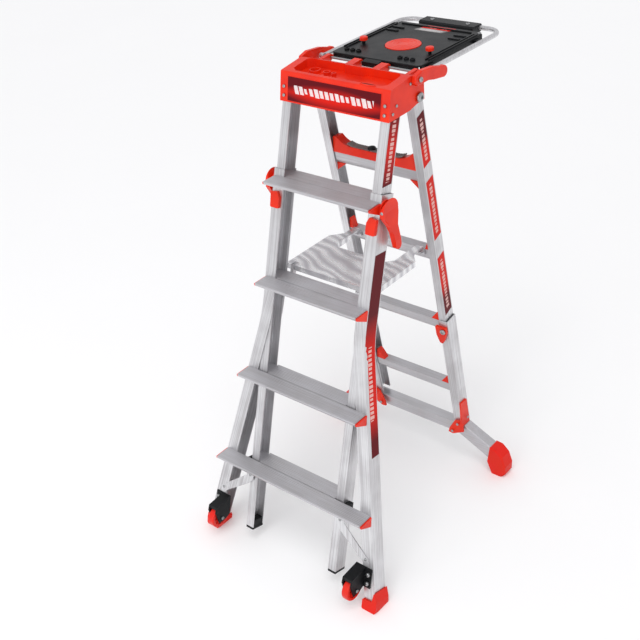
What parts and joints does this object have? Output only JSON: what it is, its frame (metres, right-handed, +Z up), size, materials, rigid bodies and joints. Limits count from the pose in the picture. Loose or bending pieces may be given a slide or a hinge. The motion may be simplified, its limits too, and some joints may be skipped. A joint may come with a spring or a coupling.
{
  "type": "multi position ladder",
  "caption": "Aluminium A-frame step ladder with telescoping front section, flared legs, moulded cap, fold-up tray, platform and glide wheels.",
  "frame": {"origin": "on the floor, under the middle of the whole object's box", "axes": "+Z up; -Y is the climbing side; X runs across the treads"},
  "size_m": [0.738, 1.0962, 1.543],
  "materials": {
    "aluminium_rail": "extruded, satin",
    "aluminium_tread": "extruded, fine ribs",
    "orange_red_plastic": "moulded, semi-gloss",
    "red_rubber": "moulded",
    "black_plastic": "moulded",
    "label_film": "printed film",
    "zinc_steel": "zinc plated"
  },
  "bodies": {
    "front_inner": {"inner_rail_left": "aluminium_rail", "inner_rail_right": "aluminium_rail", "inner_tread_1": "aluminium_tread", "inner_tread_2": "aluminium_tread", "inner_tread_3": "aluminium_tread", "inner_tread_4": "aluminium_tread", "rail_plugs": "black_plastic", "top_cap": "orange_red_plastic", "cap_label": "label_film", "cap_fasteners": "zinc_steel", "fold_pivot_pins": "zinc_steel", "tray_hinge_rod": "zinc_steel", "platform_hinge_ears": "zinc_steel"},
    "front_outer": {"outer_rail_left": "aluminium_rail", "outer_rail_right": "aluminium_rail", "outer_tread_1": "aluminium_tread", "outer_tread_2": "aluminium_tread", "outer_tread_3": "aluminium_tread", "outer_tread_4": "aluminium_tread", "tread_end_caps": "orange_red_plastic", "strap_braces": "aluminium_rail", "front_boot_left": "red_rubber", "front_boot_right": "red_rubber", "caster_fork_left": "black_plastic", "caster_fork_right": "black_plastic", "caster_fasteners": "zinc_steel", "rail_guides": "black_plastic", "lock_bases": "orange_red_plastic", "lock_pins": "zinc_steel"},
    "caster_wheel_left": {"caster_wheel_left": "orange_red_plastic"},
    "caster_wheel_right": {"caster_wheel_right": "orange_red_plastic"},
    "lock_lever_left": {"lock_lever_left": "orange_red_plastic"},
    "lock_lever_right": {"lock_lever_right": "orange_red_plastic"},
    "release_lever_left": {"release_lever_left": "orange_red_plastic"},
    "release_lever_right": {"release_lever_right": "orange_red_plastic"},
    "rear_upper": {"rear_upper_rail_left": "aluminium_rail", "rear_upper_rail_right": "aluminium_rail", "rear_rung_1": "aluminium_rail", "rear_rung_2": "aluminium_rail", "rear_rung_3": "aluminium_rail", "rear_rung_4": "aluminium_rail", "rung_saddle": "orange_red_plastic", "rung_wedges": "orange_red_plastic", "platform_ledges": "zinc_steel"},
    "rear_lower": {"rear_lower_rail_left": "aluminium_rail", "rear_lower_rail_right": "aluminium_rail", "rear_base_bar": "aluminium_rail", "corner_brackets": "orange_red_plastic", "rear_foot_left": "red_rubber", "rear_foot_right": "red_rubber", "claw_pins": "zinc_steel"},
    "claw_left": {"claw_left": "orange_red_plastic"},
    "claw_right": {"claw_right": "orange_red_plastic"},
    "platform": {"platform": "aluminium_tread"},
    "tray": {"tray_frame": "aluminium_rail", "tray_panel": "black_plastic", "tray_disc": "orange_red_plastic", "tray_knobs": "orange_red_plastic", "tray_grip": "black_plastic"}
  },
  "joints": [
    {"name": "front_section_slide", "type": "slide", "parent": "front_inner", "child": "front_outer", "axis": [0, -0.279, -0.9603], "range_m": [0, 0.9522]},
    {"name": "rear_section_fold", "type": "hinge", "parent": "front_inner", "child": "rear_upper", "pos_m": [0, 0.06109, 1.46], "axis": [-1, 0, 0], "range_deg": [0, 21.5]},
    {"name": "rear_section_slide", "type": "slide", "parent": "rear_upper", "child": "rear_lower", "axis": [0, 0.1743, -0.9847], "range_m": [0, 0.2932]},
    {"name": "platform_lift", "type": "hinge", "parent": "front_inner", "child": "platform", "pos_m": [0, -0.15374, 0.924], "axis": [1, 0, 0], "range_deg": [0, 74]},
    {"name": "tray_tilt", "type": "hinge", "parent": "front_inner", "child": "tray", "pos_m": [0, 0.10608, 1.511], "axis": [1, 0, 0], "range_deg": [0, 90]},
    {"name": "release_lever_left_lift", "type": "hinge", "parent": "front_inner", "child": "release_lever_left", "pos_m": [-0.2045, 0.04908, 1.516], "axis": [1, 0, 0], "range_deg": [0, 25]},
    {"name": "rock_lock_left_swing", "type": "hinge", "parent": "front_outer", "child": "lock_lever_left", "pos_m": [-0.2132, -0.12491, 1.197], "axis": [0, 1, 0], "range_deg": [0, 25]},
    {"name": "claw_left_swing", "type": "hinge", "parent": "rear_lower", "child": "claw_left", "pos_m": [-0.176, 0.19493, 0.60705], "axis": [0, -0.9847, -0.1743], "range_deg": [0, 35]},
    {"name": "caster_wheel_left_spin", "type": "hinge", "parent": "front_outer", "child": "caster_wheel_left", "pos_m": [-0.28803, -0.51009, 0.08], "axis": [1, 0, 0], "continuous": true},
    {"name": "release_lever_right_lift", "type": "hinge", "parent": "front_inner", "child": "release_lever_right", "pos_m": [0.2045, 0.04908, 1.516], "axis": [1, 0, 0], "range_deg": [0, 25]},
    {"name": "rock_lock_right_swing", "type": "hinge", "parent": "front_outer", "child": "lock_lever_right", "pos_m": [0.2132, -0.12491, 1.197], "axis": [0, -1, 0], "range_deg": [0, 25]},
    {"name": "claw_right_swing", "type": "hinge", "parent": "rear_lower", "child": "claw_right", "pos_m": [0.176, 0.19493, 0.60705], "axis": [0, 0.9847, 0.1743], "range_deg": [0, 35]},
    {"name": "caster_wheel_right_spin", "type": "hinge", "parent": "front_outer", "child": "caster_wheel_right", "pos_m": [0.28803, -0.51009, 0.08], "axis": [1, 0, 0], "continuous": true}
  ],
  "couplings": [
    {"joint": "platform_lift", "follows": "rear_section_fold", "ratio": 3.4186}
  ]
}
